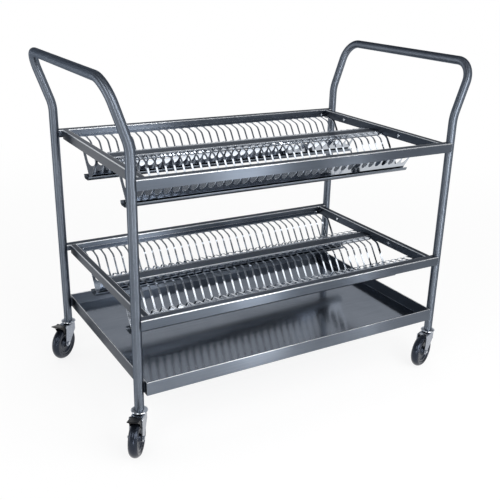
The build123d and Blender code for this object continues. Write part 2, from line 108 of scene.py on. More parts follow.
# Half outlines about the axle: distance to the side, and radius
TYRE_WALL = [
    (12.0, 44.1), (14.2, 46.2), (14.4, 48.0), (13.8, 48.6), (13.8, 50.8), (14.6, 51.2), (15.0, 52.0),
]
WHEEL_CENTRE = [
    (17.0, 6.1), (17.0, 11.6), (16.2, 12.8), (9.5, 14.5), (7.0, 17.5), (6.0, 22.0),
    (6.4, 31.0), (8.2, 34.6), (11.2, 36.2), (12.0, 37.0), (12.0, 43.2), (11.2, 44.0),
]
# Outline of a cup: radius and depth under its top, then radius and height over its foot
CUP_BORE_R = 6.05
CUP_DOME = [
    (CUP_BORE_R, 0.0), (TUBE_R, 0.0), (20.0, 0.9), (24.4, 2.4),
    (26.3, 3.8), (26.9, 5.2), (26.4, 6.6), (24.6, 7.4),
]
CUP_FOOT = [(19.0, 0.5), (17.0, 0.0), (CUP_BORE_R, 0.0)]

# Eased edges
CUT_EDGE = 0.3
FORK_EDGE = 0.5
BOLT_EDGE = 0.6
PIN_EDGE = 0.3
PEDAL_EDGE = 0.5
SCREW_EDGE = 0.2
LUG_EDGE = 0.3
EASE_STEPS = 2
EASE_ANGLE = 50.0

# How finely round forms are drawn
TUBE_SIDES = 40
LEAN_STEPS = 10
HANDLE_STEPS = 20
FOLD_STEPS = 5
LIP_STEPS = 3
HEM_STEPS = 4
SLOT_END_STEPS = 4
NOTCH_CUTS = 14
WHEEL_STEPS = 72
TREAD_STEPS = 8
CUP_STEPS = 64
SMOOTH_ANGLE = 40.0

# Points closer than this share a place.
NEAR = 0.01
# Along the legs, a tube's direction has less than this share along Y.
LEAST_RUN = 0.01
# A face whose normal has more than this share along an axis faces that way.
FACING = 0.5
# Folds tighter than this get a painted highlight along them.
TIGHT_FOLD_R = 3.0
# Marks that a mesh carries for its material: the painted highlight on tight folds, and the direction of a
# tube
FOLD_HIGHLIGHT_ATTRIBUTE = "painted_fold_highlight"
ROUND = "along_tube"

# Surfaces. The spreads are those of one noise pattern, and of two added up.
ONE_SPREAD = (0.3, 0.7)
TWO_SPREAD = (0.7, 1.3)
NOISE_ROUGHNESS = 0.55
LINE_DETAIL = 3.0
CLOUD_DETAIL = 2.0
SKIN_DETAIL = 4.0
SHEET_CLOUDS = 140.0
SKIN_CLOUDS = 25.0
STEEL_RELIEF = 0.25
SKIN_RELIEF = 0.3
WHITE = "#ffffff"
# Near white, painted on tight folds: a painted highlight along each fold
FOLD_HIGHLIGHT_PAINT = "#f2f4f6"
LENGTHWISE = (1.0, 0.0, 0.0)
CROSSWISE = (0.0, 1.0, 0.0)
QUARTER_TURN = 0.25

# Studio, in metres: a white sweep under a grey ceiling
SKY = ((0.0, WHITE), (0.22, "#c4c8ce"), (0.6, "#74777c"))
SKY_LIGHT = 0.75
FLOOR_PAINT = "#f4f4f4"
FLOOR_SIZE = 12.0
# Share of plain white that the eye sees on the floor, near the trolley and far away, and how far those are
FLOOR_GLOW = (0.84, 1.0)
FLOOR_REACH = (1.2, 4.0)
# Lamps: name, place, aim, width and height, watts
LAMPS = (
    # Long lamps under the ceiling, which the ribs of the racks mirror
    ("near_ceiling_lamp", (2.25, -1.9, 3.5), (2.25, 0.0, 0.6), (2.9, 0.32), 6.0),
    ("far_ceiling_lamp", (2.6, -3.3, 3.5), (2.6, 0.0, 0.6), (3.2, 0.24), 5.0),
    # Upright lamps in front, which the brushed rails and the tray's rim draw out into streaks
    ("rail_lamp", (0.45, -1.55, 0.66), (0.0, 0.0, 0.6), (0.25, 1.2), 5.5),
    ("strip_lamp", (1.1, -1.55, 0.35), (0.0, 0.0, 0.6), (0.05, 0.6), 1.2),
    # A wide lamp for the whole trolley, and others for its left side, front, feet and the rails' left halves
    ("fill_lamp", (-2.8, -2.2, 3.0), (0.0, 0.0, 0.6), (1.6, 1.6), 30.0),
    ("side_lamp", (-2.8, 0.3, 0.9), (0.0, 0.0, 0.6), (0.5, 1.7), 8.0),
    ("front_lamp", (-0.2, -3.2, 2.0), (0.0, 0.0, 0.6), (0.9, 1.6), 28.0),
    ("foot_lamp", (-1.5, -2.5, 0.35), (0.0, 0.0, 0.6), (0.35, 0.6), 7.0),
    ("left_rail_lamp", (0.8, -3.0, 1.9), (0.0, 0.0, 0.6), (0.7, 1.6), 16.0),
)

# Camera, fitted to the photograph: its place is in millimetres, the end of its view in metres.
CAMERA_PLACE = (-1324.6, -2252.5, 1421.9)
CAMERA_AZIMUTH = 32.347
CAMERA_ELEVATION = 21.473
CAMERA_ROLL = 2.068
CAMERA_LENS = 54.01
CAMERA_SENSOR = 36.0
CAMERA_SHIFT = (-0.0471, 0.0269)
CAMERA_REACH = 100.0


def span(node):
    """Lowest and highest corner of a CAD node, in millimetres."""
    low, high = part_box(node)
    return low / MM, high / MM


def tone(code):
    """Linear colour of an sRGB hex value."""
    parts = [int(code[i:i + 2], 16) / 255 for i in (1, 3, 5)]
    return [c / 12.92 if c <= 0.04045 else ((c + 0.055) / 1.055) ** 2.4 for c in parts] + [1.0]


def add(tree, kind, inputs=None, **settings):
    """Adds a node with its settings. An input is a value, or a socket to link from."""
    node = tree.nodes.new(kind)
    for name, value in settings.items():
        setattr(node, name, value)
    for name, value in (inputs or {}).items():
        if isinstance(value, bpy.types.NodeSocket):
            tree.links.new(value, node.inputs[name])
        else:
            node.inputs[name].default_value = value
    return node


def blank_material(name):
    """Material without nodes, and its node tree."""
    material = bpy.data.materials.new(name)
    material.use_nodes = True
    material.node_tree.nodes.clear()
    return material, material.node_tree


def pattern(tree, size, detail):
    """Noise whose grains measure the given millimetres along X, Y and Z."""
    place = add(tree, "ShaderNodeTexCoord").outputs["Object"]
    scale = [1.0 / (length * MM) for length in size]
    fitted = add(tree, "ShaderNodeMapping", {"Vector": place, "Scale": scale})
    return add(
        tree, "ShaderNodeTexNoise",
        {"Vector": fitted.outputs["Vector"], "Scale": 1.0, "Detail": detail, "Roughness": NOISE_ROUGHNESS},
    ).outputs["Fac"]


def finish_steel(name, pale, deep, grain, roughness, bump_mm, clouds=SHEET_CLOUDS, brushed=None, rim=WHITE):
    """Steel. Its grain follows the polishing, and soft clouds keep a wide sheet from looking flat.
    Brushing along a direction draws the highlights out across it, and polishing round a tube draws them
    out along it. The rim tone shows where the surface turns away."""
    material, tree = blank_material(name)
    lines = pattern(tree, grain, LINE_DETAIL)
    cloud = pattern(tree, (clouds, clouds, clouds), CLOUD_DETAIL)
    both = add(tree, "ShaderNodeMath", {0: lines, 1: cloud}, operation="ADD").outputs[0]
    share = add(
        tree, "ShaderNodeMapRange", {"Value": both, "From Min": TWO_SPREAD[0], "From Max": TWO_SPREAD[1]},
    ).outputs["Result"]
    sheet = add(
        tree, "ShaderNodeMix", {"Factor": share, "A": tone(deep), "B": tone(pale)}, data_type="RGBA",
    ).outputs["Result"]
    # Tight folds are painted near white: a painted highlight along the fold.
    fold_highlight = add(tree, "ShaderNodeAttribute", attribute_name=FOLD_HIGHLIGHT_ATTRIBUTE).outputs["Fac"]
    colour = add(tree, "ShaderNodeMix", {"Factor": fold_highlight, "A": sheet, "B": tone(FOLD_HIGHLIGHT_PAINT)}, data_type="RGBA")
    gloss = add(
        tree, "ShaderNodeMapRange",
        {"Value": lines, "From Min": ONE_SPREAD[0], "From Max": ONE_SPREAD[1],
         "To Min": roughness[0], "To Max": roughness[1]})
    relief = add(
        tree, "ShaderNodeBump", {"Height": lines, "Distance": bump_mm * MM, "Strength": STEEL_RELIEF})
    shader = add(
        tree, "ShaderNodeBsdfPrincipled",
        {
            "Base Color": colour.outputs["Result"],
            "Metallic": 1.0,
            "Specular Tint": tone(rim),
            "Roughness": gloss.outputs["Result"],
            "Normal": relief.outputs["Normal"],
        },
    )
    if brushed:
        if brushed == ROUND:
            way = add(tree, "ShaderNodeAttribute", attribute_name=ROUND)
        else:
            way = add(tree, "ShaderNodeCombineXYZ", dict(zip("XYZ", brushed)))
        tree.links.new(way.outputs["Vector"], shader.inputs["Tangent"])
        shader.inputs["Anisotropic"].default_value = 1.0
        shader.inputs["Anisotropic Rotation"].default_value = 0.0 if brushed == ROUND else QUARTER_TURN
    add(tree, "ShaderNodeOutputMaterial", {"Surface": shader.outputs["BSDF"]})
    return material


def finish_black(name, pale, deep, grain, roughness, bump_mm, specular=0.5, sheen=WHITE):
    """Black rubber or moulded plastic: a fine skin scatters the light into a soft sheen of its own tint."""
    material, tree = blank_material(name)
    skin = pattern(tree, (grain, grain, grain), SKIN_DETAIL)
    cloud = pattern(tree, (SKIN_CLOUDS, SKIN_CLOUDS, SKIN_CLOUDS), CLOUD_DETAIL)
    colour = add(tree, "ShaderNodeMix", {"Factor": cloud, "A": tone(deep), "B": tone(pale)}, data_type="RGBA")
    gloss = add(
        tree, "ShaderNodeMapRange",
        {"Value": cloud, "From Min": ONE_SPREAD[0], "From Max": ONE_SPREAD[1],
         "To Min": roughness[0], "To Max": roughness[1]})
    relief = add(
        tree, "ShaderNodeBump", {"Height": skin, "Distance": bump_mm * MM, "Strength": SKIN_RELIEF})
    shader = add(
        tree, "ShaderNodeBsdfPrincipled",
        {
            "Base Color": colour.outputs["Result"],
            "Roughness": gloss.outputs["Result"],
            "Specular IOR Level": specular,
            "Specular Tint": tone(sheen),
            "Normal": relief.outputs["Normal"],
        },
    )
    add(tree, "ShaderNodeOutputMaterial", {"Surface": shader.outputs["BSDF"]})
    return material


# Real polishing lines are about 0.1 mm wide. They are drawn 1.5 to 6 mm wide, so that they show.
# Stainless tube, satin polished round its girth: a highlight runs along it as a soft streak.
TUBE_STEEL = finish_steel(
    "stainless_tube_satin_polished", "#6f7680", "#616872", (6, 6, 6), (0.28, 0.32), 0.001, brushed=ROUND,
    rim="#9ba0a8")
# Stainless sheet, brushed along the rails: a broad sheen, drawn out upright into streaks.
RAIL_STEEL = finish_steel(
    "stainless_sheet_brushed", "#646b75", "#575e68", (300, 1.5, 1.5), (0.32, 0.4), 0.012, brushed=LENGTHWISE)
# The same sheet at the tray's front and rear walls and crest: the same streaks, in a tone painted lighter
# than the rails and darker than the tray's floor, as painted light and shade.
RIM_STEEL_PAINTED_LIGHT = finish_steel(
    "stainless_rim_brushed_painted_light", "#767d87", "#686f79", (300, 1.5, 1.5), (0.32, 0.4), 0.012, brushed=LENGTHWISE)
# The same sheet, brushed along the end rails, in a tone painted darker: painted shade, as little light falls
# on the ends. The tray's end walls have it too.
SHADED_END_STEEL = finish_steel(
    "stainless_sheet_brushed_across_painted_shade", "#4a515b", "#3e454f", (1.5, 300, 1.5), (0.32, 0.4), 0.012,
    brushed=CROSSWISE)
# Stainless sheet, rolled bright, then pressed and punched: smooth, so that the ribs catch the light.
RACK_STEEL = finish_steel(
    "stainless_sheet_bright_rolled", "#c3c8cf", "#b2b8c0", (90, 6, 6), (0.05, 0.08), 0.01)
# Stainless gutter, brushed: a dull grey.
GUTTER_STEEL = finish_steel(
    "stainless_gutter_brushed", "#7b828b", "#6b727b", (120, 3, 3), (0.26, 0.36), 0.03)
# Stainless tray floor with the surface that the mill rolled: it mirrors the rack above it, blurred. Its tone
# is painted lighter than the walls of the same sheet: painted light where it faces up.
TRAY_STEEL = finish_steel(
    "stainless_tray_rolled_painted_light", "#b4b9c1", "#a4aab3", (160, 5, 5), (0.1, 0.16), 0.01)
# Zinc-plated pressing: pale grey, with a slight orange-peel.
FORK_STEEL = finish_steel(
    "zinc_plated_pressing", "#a0a6b0", "#8c929c", (9, 9, 9), (0.2, 0.3), 0.03, clouds=40.0)
# Bright plated cup: nearly a mirror, with a slight ripple.
CUP_STEEL = finish_steel(
    "bright_plated_cup", "#d6d9de", "#c4c8ce", (6, 6, 6), (0.08, 0.14), 0.01, clouds=30.0)
# Bright plated screws, bolts, nuts, pins and rivets: small clear glints.
BOLT_STEEL = finish_steel(
    "bright_plated_fastener", "#d0d3d8", "#b8bdc4", (3, 3, 3), (0.14, 0.22), 0.01, clouds=12.0)
# Turned steel: fine rings from the lathe, and a soft grey sheen.
STEM_STEEL = finish_steel(
    "turned_steel", "#8f9499", "#7f848a", (20, 20, 1.5), (0.28, 0.4), 0.03, clouds=20.0)
# Moulded rubber: near black, with a soft grey-blue sheen on the tread.
TYRE_RUBBER = finish_black(
    "tyre_rubber_moulded", "#12151b", "#0a0c11", 0.8, (0.2, 0.26), 0.008, specular=0.8, sheen="#aebbd4")
# Moulded plastic wheel centre: dark, a little lighter than the tyre, with the same sheen.
WHEEL_PLASTIC = finish_black(
    "wheel_centre_plastic_moulded", "#1e222a", "#12151b", 1.2, (0.22, 0.3), 0.01, specular=0.7,
    sheen="#aebbd4")
# Moulded plastic pedal: deep black, with little gloss.
PEDAL_PLASTIC = finish_black(
    "pedal_plastic_moulded", "#0c0d10", "#060709", 1.0, (0.3, 0.45), 0.04, specular=0.2)


def everything(bm):
    """All points, edges and faces of a mesh."""
    return bm.verts[:] + bm.edges[:] + bm.faces[:]


def edges_where(bm, test):
    """Edges whose two ends both pass a test on their place."""
    return [edge for edge in bm.edges if all(test(vert.co) for vert in edge.verts)]


def push(bm, edges, offset):
    """Extrudes edges by an offset and gives their moved copies."""
    grown = bmesh.ops.extrude_edge_only(bm, edges=edges)["geom"]
    verts = {item for item in grown if isinstance(item, bmesh.types.BMVert)}
    bmesh.ops.translate(bm, verts=list(verts), vec=offset)
    return [edge for edge in bm.edges if edge.verts[0] in verts and edge.verts[1] in verts]


def turn(bm, edges, centre, axis, angle, steps):
    """Spins edges about an axis and gives the last copies."""
    verts = list({vert for edge in edges for vert in edge.verts})
    spun = bmesh.ops.spin(bm, geom=verts + edges, cent=centre, axis=axis, angle=angle, steps=steps)
    return [item for item in spun["geom_last"] if isinstance(item, bmesh.types.BMEdge)]


def chain(bm, points):
    """Points in a row, joined by edges."""
    verts = [bm.verts.new(point) for point in points]
    return [bm.edges.new(pair) for pair in zip(verts, verts[1:])]


def lathe(outline, centre, axis, steps):
    """Solid turned once round an axis from a closed outline."""
    bm = bmesh.new()
    chain(bm, outline + outline[:1])
    bmesh.ops.remove_doubles(bm, verts=bm.verts, dist=NEAR)
    bmesh.ops.spin(
        bm, geom=bm.verts[:] + bm.edges[:], cent=centre, axis=axis, angle=math.tau, steps=steps,
        use_merge=True)
    return bm


def round_edges(bm, edges, radius, segments):
    """Rounds edges whose faces meet at a right angle, and marks the tight folds for a painted highlight."""
    bmesh.ops.recalc_face_normals(bm, faces=bm.faces)
    painted_fold_highlight = bm.faces.layers.float.get(FOLD_HIGHLIGHT_ATTRIBUTE) or bm.faces.layers.float.new(FOLD_HIGHLIGHT_ATTRIBUTE)
    made = bmesh.ops.bevel(
        bm, geom=edges, offset=radius, affect="EDGES", segments=segments, profile=0.5, material=-1)
    if radius < TIGHT_FOLD_R:
        for face in made["faces"]:
            face[painted_fold_highlight] = 1.0


def finish_piece(bm, name, body, material, nodes):
    """Makes a piece from a mesh drawn in millimetres, on its body and in place of its CAD nodes."""
    bmesh.ops.remove_doubles(bm, verts=bm.verts, dist=NEAR)
    bmesh.ops.recalc_face_normals(bm, faces=bm.faces)
    bmesh.ops.scale(bm, verts=bm.verts, vec=(MM, MM, MM))
    mesh = bpy.data.meshes.new(name)
    bm.to_mesh(mesh)
    bm.free()
    mesh.shade_smooth()
    mesh.set_sharp_from_angle(angle=math.radians(SMOOTH_ANGLE))
    mesh.materials.append(material)
    piece = bpy.data.objects.new(name, mesh)
    bpy.context.scene.collection.objects.link(piece)
    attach(piece, body)
    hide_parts(*nodes)
    return piece


def ease(piece, width):
    """Rounds the sharp edges a little, so that they catch the light."""
    edge = piece.modifiers.new("eased_edges", "BEVEL")
    edge.width = width * MM
    edge.segments = EASE_STEPS
    edge.limit_method = "ANGLE"
    edge.angle_limit = math.radians(EASE_ANGLE)
    edge.harden_normals = True


def thicken(piece, sheet, offset=0.0):
    """Gives a sheet its thickness, with eased cut edges."""
    wall = piece.modifiers.new("sheet", "SOLIDIFY")
    wall.thickness = sheet * MM
    wall.offset = offset
    ease(piece, CUT_EDGE)


def mark_axis(bm):
    """Marks a tube's own direction, from its front foot over the handle to its rear foot."""
    along = bm.verts.layers.float_vector.new(ROUND)
    for vert in bm.verts:
        longest = max(vert.link_edges, key=lambda edge: edge.calc_length())
        way = (longest.verts[1].co - longest.verts[0].co).normalized()
        onward = way.y if abs(way.y) > LEAST_RUN else way.z * -vert.co.y
        vert[along] = way if onward > 0 else -way


def end_frame(side):
    """One bent tube: up a leg, out along the lean, over as the handle and down again."""
    node = f"{side}_end_frame"
    low, high = span(node)
    outward = 1 if side == "right" else -1
    leg_x, bar_x = sorted((low.x + TUBE_R, high.x - TUBE_R), key=abs)
    leg_y = high.y - TUBE_R
    bar_z = high.z - TUBE_R
    lean_z = span("upper_front_rail")[1].z + LEAN_RISE
    lean = math.atan2(abs(bar_x - leg_x), bar_z - lean_z)
    lean_way = Vector((outward * math.sin(lean), 0, math.cos(lean)))
    bend_z = lean_z - LEAN_RADIUS * math.tan(lean / 2)
    bend_centre = (leg_x + outward * LEAN_RADIUS, -leg_y, bend_z)
    bend_end = Vector((leg_x, -leg_y, lean_z)) + lean_way * (lean_z - bend_z)
    corner_start = Vector((bar_x, -leg_y, bar_z)) - lean_way * HANDLE_RADIUS
    corner_centre = corner_start + Vector((0, HANDLE_RADIUS, 0))

    bm = bmesh.new()
    foot = Matrix.Translation((leg_x, -leg_y, low.z))
    bmesh.ops.create_circle(bm, segments=TUBE_SIDES, radius=TUBE_R, matrix=foot)
    ring = push(bm, bm.edges[:], (0, 0, bend_z - low.z))
    ring = turn(bm, ring, bend_centre, (0, outward, 0), lean, LEAN_STEPS)
    ring = push(bm, ring, corner_start - bend_end)
    ring = turn(bm, ring, corner_centre, lean_way.cross((0, 1, 0)), math.radians(90), HANDLE_STEPS)
    push(bm, ring, (0, leg_y - HANDLE_RADIUS, 0))
    bmesh.ops.mirror(bm, geom=everything(bm), axis="Y", merge_dist=NEAR)
    mark_axis(bm)
    piece = finish_piece(bm, f"{side}_handle_tube", "frame", TUBE_STEEL, [node])
    thicken(piece, TUBE_WALL, offset=-1.0)


def notch_round_legs(bm):
    """Draws the ends of a long rail's sheet back to the round of the legs."""
    leg_low, leg_high = span("right_end_frame")
    leg_x = leg_low.x + TUBE_R
    leg_y = leg_high.y - TUBE_R
    notch = TUBE_R + WELD_GAP
    for vert in bm.verts:
        aside = abs(vert.co.y) - leg_y
        if abs(aside) < notch:
            limit = leg_x - math.sqrt(notch ** 2 - aside ** 2)
            vert.co.x = max(-limit, min(limit, vert.co.x))


def long_rail(tier, side):
    """Front or rear rail: outer face, rim, drop and ledge, with the rim notched round the legs."""
    node = f"{tier}_{side}_rail"
    low, high = span(node)
    way = 1 if side == "rear" else -1
    half = RAIL_SHEET / 2
    outer = max(abs(low.y), abs(high.y)) - half
    ledge_edge = min(abs(low.y), abs(high.y))
    inner = outer + half - RAIL_RIM + half
    top = high.z - half
    ledge = high.z - LEDGE_DROP - half
    ledge_end = span(f"{tier}_right_rail")[0].x - LEDGE_END_GAP
    section = [(outer, low.z), (outer, top), (inner, top), (inner, ledge), (ledge_edge, ledge)]

    bm = bmesh.new()
    edges = chain(bm, [(low.x, way * y, z) for y, z in section])
    for step in (-low.x - ledge_end, 2 * ledge_end, high.x - ledge_end):
        edges = push(bm, edges, (step, 0, 0))
    spare = [
        face for face in bm.faces
        if abs(face.calc_center_median().x) > ledge_end and abs(face.calc_center_median().y) < inner - half
    ]
    bmesh.ops.delete(bm, geom=spare, context="FACES")
    rim_ends = edges_where(bm, lambda co: abs(co.x) > high.x - half and co.z > high.z - RAIL_SHEET)
    bmesh.ops.subdivide_edges(bm, edges=rim_ends, cuts=NOTCH_CUTS)
    folds = [
        edge for edge in bm.edges
        if len(edge.link_faces) == 2 and abs(edge.verts[0].co.x - edge.verts[1].co.x) > RAIL_RIM
    ]
    round_edges(bm, folds, RAIL_FOLD_R, FOLD_STEPS)
    notch_round_legs(bm)
    thicken(finish_piece(bm, f"{node}_sheet", "frame", RAIL_STEEL, [node]), RAIL_SHEET)


def channel_section(near, far, edge, web):
    """Section of a channel: along one side, across the web and back along the other."""
    return [(near, edge), (near, web), (far, web), (far, edge)]


def folded(points, run, fold_r):
    """Sheet folded along straight lines: an open section pushed along its length."""
    bm = bmesh.new()
    push(bm, chain(bm, points), run)
    folds = [edge for edge in bm.edges if len(edge.link_faces) == 2]
    round_edges(bm, folds, fold_r, FOLD_STEPS)
    return bm


def end_rail(tier, side):
    """Left or right rail: a channel open below, between the two long rails."""
    node = f"{tier}_{side}_rail"
    low, high = span(node)
    half = RAIL_SHEET / 2
    section = channel_section(low.x + half, high.x - half, low.z, high.z - half)
    bm = folded([(x, low.y, z) for x, z in section], (0, high.y - low.y, 0), RAIL_FOLD_R)
    # The end rails take the darker tone: painted shade.
    thicken(finish_piece(bm, f"{node}_sheet", "frame", SHADED_END_STEEL, [node]), RAIL_SHEET)


def centre_rail(tier):
    """Channel between the two racks of a tier, open below."""
    node = f"{tier}_centre_rail"
    low, high = span(node)
    half = RAIL_SHEET / 2
    section = channel_section(half - high.y, high.y - half, low.z, high.z - half)
    bm = folded([(low.x, y, z) for y, z in section], (high.x - low.x, 0, 0), RAIL_FOLD_R)
    thicken(finish_piece(bm, f"{node}_sheet", "frame", RAIL_STEEL, [node]), RAIL_SHEET)


def gutter(tier, side):
    """Drain gutter: a shallow channel open above, with round folds."""
    node = f"{tier}_{side}_gutter"
    low, high = span(node)
    half = GUTTER_SHEET / 2
    section = channel_section(low.y + half, high.y - half, high.z, low.z + half)
    bm = folded([(low.x, y, z) for y, z in section], (high.x - low.x, 0, 0), GUTTER_FOLD_R)
    piece = finish_piece(bm, f"{node}_sheet", "frame", GUTTER_STEEL, [node])
    thicken(piece, GUTTER_SHEET)


def bent_height(corners, across):
    """Height of a line through corners (across, height, bend radius) with its bends rounded."""
    places = [Vector(corner[:2]) for corner in corners]
    for index in range(1, len(corners) - 1):
        before = (places[index] - places[index - 1]).normalized()
        after = (places[index + 1] - places[index]).normalized()
        swing = math.atan2(before.x * after.y - before.y * after.x, before.dot(after))
        radius = corners[index][2]
        reach = radius * math.tan(abs(swing) / 2)
        start = places[index] - before * reach
        if start.x < across < (places[index] + after * reach).x:
            rise = math.copysign(1, swing)
            centre = start + Vector((-before.y, before.x)) * radius * rise
            return centre.y - rise * math.sqrt(radius ** 2 - (across - centre.x) ** 2)
    for low, high in zip(places, places[1:]):
        if across <= high.x:
            break
    return low.y + (high.y - low.y) * (across - low.x) / (high.x - low.x)


def rack_cell():
    """One pitch of a rack in plan, X along the rack and Y across it: both slots and the floor between."""
    bm = bmesh.new()
    edges = chain(bm, [(SLOT_R, y, 0) for y in (SLOT_HEAD - SLOT_R, *WALL_STOPS)])
    head, foot = edges[0].verts[0], edges[-1].verts[1]
    for vert, y, angle in ((head, SLOT_HEAD - SLOT_R, 90), (foot, SLOT_FOOT + SLOT_R, -90)):
        bmesh.ops.spin(
            bm, geom=[vert], cent=(0, y, 0), axis=(0, 0, 1), angle=math.radians(angle), steps=SLOT_END_STEPS)
    bmesh.ops.mirror(bm, geom=bm.verts[:] + bm.edges[:], axis="X", merge_dist=NEAR)

    # The slot's outline grows to the pitch's edges, square round its two ends.
    half = SLOT_PITCH / 2
    for edge in push(bm, bm.edges[:], (0, 0, 0)):
        for vert in edge.verts:
            y = min(max(vert.co.y, SLOT_FOOT + SLOT_R), SLOT_HEAD - SLOT_R)
            way = Vector((vert.co.x, vert.co.y - y, 0))
            vert.co = Vector((0, y, 0)) + way * half / max(abs(way.x), abs(way.y))
    foot_y = SLOT_FOOT + SLOT_R - half
    edges = edges_where(bm, lambda co: co.y < foot_y + NEAR)
    for stop in FLOOR_STOPS:
        edges = push(bm, edges, (0, stop - edges[0].verts[0].co.y, 0))
    bmesh.ops.mirror(bm, geom=everything(bm), axis="Y", merge_dist=NEAR)
    return bm


def rack_plan(inner, outer, end_x):
    """The whole rack in plan: the row of slots, the flanges beside it and its plain ends."""
    bm = rack_cell()
    head_y = SLOT_HEAD - SLOT_R + SLOT_PITCH / 2
    for line, edge_y in ((head_y, outer), (-head_y, inner)):
        push(bm, edges_where(bm, lambda co: abs(co.y - line) < NEAR), (0, edge_y - line, 0))
    cell = everything(bm)
    bmesh.ops.translate(bm, verts=bm.verts, vec=(-(SLOT_COUNT - 1) / 2 * SLOT_PITCH, 0, 0))
    for index in range(1, SLOT_COUNT):
        copied = bmesh.ops.duplicate(bm, geom=cell)["geom"]
        verts = [item for item in copied if isinstance(item, bmesh.types.BMVert)]
        bmesh.ops.translate(bm, verts=verts, vec=(index * SLOT_PITCH, 0, 0))
    bmesh.ops.remove_doubles(bm, verts=bm.verts, dist=NEAR)
    row_end = SLOT_COUNT / 2 * SLOT_PITCH
    for end in (-1, 1):
        edges = edges_where(bm, lambda co: abs(co.x - end * row_end) < NEAR)
        push(bm, edges, (end * (end_x - row_end), 0, 0))
    return bm


def rack(tier, side):
    """Plate rack: one folded sheet with a row of round-ended slots through both walls."""
    node = f"{tier}_{side}_rack"
    low, high = span(node)
    way = 1 if side == "rear" else -1
    half = RACK_SHEET / 2
    middle = sum(corner.y for corner in span(f"{tier}_{side}_gutter")) / 2
    outer = max(abs(low.y), abs(high.y)) - abs(middle)
    inner = min(abs(low.y), abs(high.y)) + half - abs(middle)
    flange = high.z - half
    wall = [
        (FLANGE_START, flange, LAND_BEND_R),
        (SHOULDER_HALF, flange - SHOULDER_DROP, SHOULDER_BEND_R),
        (FLOOR_HALF, low.z + half, FLOOR_BEND_R),
    ]
    corners = [
        (inner - PAST_EDGE, flange, 0),
        *((-y, z, bend_r) for y, z, bend_r in wall),
        *reversed(wall),
        (outer + PAST_EDGE, flange, 0),
    ]

    bm = rack_plan(inner, outer, high.x)
    for vert in bm.verts:
        vert.co.z = bent_height(corners, vert.co.y)
    lip_top = edges_where(bm, lambda co: abs(co.y - inner) < NEAR)
    push(bm, lip_top, (0, 0, half - LIP_HEIGHT))
    round_edges(bm, lip_top, LIP_BEND_R, LIP_STEPS)
    bmesh.ops.scale(bm, verts=bm.verts, vec=(1, way, 1))
    bmesh.ops.translate(bm, verts=bm.verts, vec=(0, middle, 0))
    piece = finish_piece(bm, f"{node}_sheet", "frame", RACK_STEEL, [node])
    thicken(piece, RACK_SHEET)


def drip_tray():
    """Shallow pan with its rim folded over into a hem."""
    low, high = span("drip_tray")
    size = high - low
    middle = (low + high) / 2
    bm = bmesh.new()
    bmesh.ops.create_cube(bm, size=1, matrix=Matrix.Translation(middle) @ Matrix.Diagonal((*size, 1)))
    lid = [face for face in bm.faces if face.normal.z > FACING]
    bmesh.ops.delete(bm, geom=lid, context="FACES_ONLY")
    rim = [edge for edge in bm.edges if len(edge.link_faces) == 1]
    hem = push(bm, rim, (0, 0, 0))
    verts = list({vert for edge in hem for vert in edge.verts})
    shrink = (1 - 2 * TRAY_HEM / size.x, 1 - 2 * TRAY_HEM / size.y, 1)
    bmesh.ops.scale(bm, verts=verts, vec=shrink)
    push(bm, hem, (0, 0, -TRAY_HEM_HEIGHT))
    round_edges(bm, edges_where(bm, lambda co: co.z < low.z + NEAR), TRAY_FOLD_R, FOLD_STEPS)

    # The crest's long folds are rounded. The short mitres at its corners stay.
    crest = [
        edge for edge in edges_where(bm, lambda co: co.z > high.z - NEAR)
        if len(edge.link_faces) == 2 and edge.calc_length() > 2 * TRAY_HEM
    ]
    round_edges(bm, crest, TRAY_HEM_R, HEM_STEPS)
    # One sheet, three tones by the way each face turns: the floor lightest, the front and rear walls and the
    # crest darker, the end walls darkest. This is painted light and shade.
    for face in bm.faces:
        if abs(face.normal.z) < FACING or face.calc_center_median().z > middle.z:
            face.material_index = 1 if abs(face.normal.x) < FACING else 2
    piece = finish_piece(bm, "drip_tray_sheet", "frame", TRAY_STEEL, ["drip_tray"])
    for wall_tone in (RIM_STEEL_PAINTED_LIGHT, SHADED_END_STEEL):
        piece.data.materials.append(wall_tone)
    thicken(piece, TRAY_SHEET, offset=-1.0)


def joint(name):
    """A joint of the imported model."""
    return next(item for item in frame["joints"] if item["name"] == name)


def caster_place(corner):
    """Turn and place of a caster that was drawn at the origin, trailing along +X."""
    across = joint(f"roll_{corner}")["axis"]
    x, y, _ = joint(f"swivel_{corner}")["pos_m"]
    angle = math.atan2(across[1], across[0]) - math.pi / 2
    return Matrix.Translation((x / MM, y / MM, 0)) @ Matrix.Rotation(angle, 4, "Z")


def about_axle(half):
    """Solid turned about the axle from one half of its outline, given as (sideways, radius)."""
    outline = half + [(-y, radius) for y, radius in reversed(half)]
    places = [(CASTER_TRAIL, y, WHEEL_R + radius) for y, radius in outline]
    return lathe(places, (CASTER_TRAIL, 0, WHEEL_R), (0, 1, 0), WHEEL_STEPS)


def tyre(corner):
    """Rubber tyre: round tread, shoulder line and a raised ring on each side wall."""
    rise = WHEEL_R - TYRE_SHOULDER_R
    crown_r = (TYRE_SIDE ** 2 + rise ** 2) / (2 * rise)
    reach = math.asin(TYRE_SIDE / crown_r)
    angles = [reach * (step + 0.5) / (TREAD_STEPS + 0.5) for step in range(TREAD_STEPS, -1, -1)]
    tread = [(crown_r * math.sin(angle), WHEEL_R - crown_r + crown_r * math.cos(angle)) for angle in angles]
    bm = about_axle(TYRE_WALL + tread)
    bm.transform(caster_place(corner))
    finish_piece(
        bm, f"tyre_{corner}_moulding", f"wheel_{corner}", TYRE_RUBBER, [f"tyre_{corner}"])


